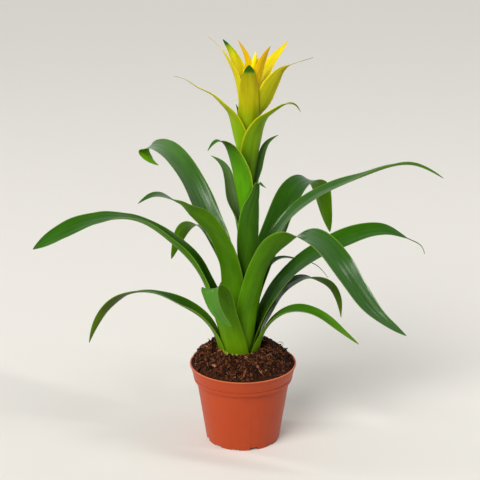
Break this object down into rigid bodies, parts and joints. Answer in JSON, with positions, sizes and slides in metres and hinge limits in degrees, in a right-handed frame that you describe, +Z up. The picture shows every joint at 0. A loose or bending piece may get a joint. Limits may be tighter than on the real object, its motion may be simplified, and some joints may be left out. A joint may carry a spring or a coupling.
{
  "type": "potted bromeliad",
  "caption": "Guzmania with arching strap leaves and a tall bract-clad flower stem, in a collared round nursery pot filled with potting mix.",
  "frame": {"origin": "centre of the pot's foot ring, on the surface that the pot stands on", "axes": "+Z up along the pot's axis, -Y the front of the plant, +X to the right as seen from the front"},
  "size_m": [0.4515, 0.2617, 0.4613],
  "materials": {
    "pot": "matte terracotta-coloured plastic",
    "potting_mix": "loose dark brown peat with reddish bark chips",
    "stem": "smooth pale green plant tissue",
    "leaf_green": "glossy mid green leaf",
    "leaf_deep": "glossy deep green leaf",
    "leaf_light": "glossy leaf, yellow-green toward the foot",
    "bract_green": "satin mid green bract",
    "bract_dark": "satin dark green bract",
    "bract_lime": "satin lime bract with a yellow margin",
    "bract_yellow": "satin yellow bract",
    "bract_orange": "satin orange-yellow bract"
  },
  "bodies": {
    "root": {"pot": "pot", "potting_mix": "potting_mix", "stem": "stem", "leaf_01": "leaf_light", "leaf_02": "leaf_green", "leaf_03": "leaf_green", "leaf_04": "leaf_light", "leaf_05": "leaf_deep", "leaf_06": "leaf_green", "leaf_07": "leaf_green", "leaf_08": "leaf_green", "leaf_09": "leaf_green", "leaf_10": "leaf_deep", "leaf_11": "leaf_green", "leaf_12": "leaf_green", "leaf_13": "leaf_deep", "leaf_14": "leaf_deep", "leaf_15": "leaf_deep", "scape_bract_01": "bract_green", "scape_bract_02": "bract_dark", "scape_bract_03": "bract_dark", "scape_bract_04": "bract_green", "scape_bract_05": "bract_dark", "scape_bract_06": "bract_green", "scape_bract_07": "bract_lime", "scape_bract_08": "bract_dark", "head_bract_01": "bract_lime", "head_bract_02": "bract_lime", "head_bract_03": "bract_lime", "head_bract_04": "bract_yellow", "head_bract_05": "bract_yellow", "head_bract_06": "bract_yellow", "head_bract_07": "bract_orange", "head_bract_08": "bract_orange", "flower_cluster": "bract_yellow"}
  },
  "joints": []
}
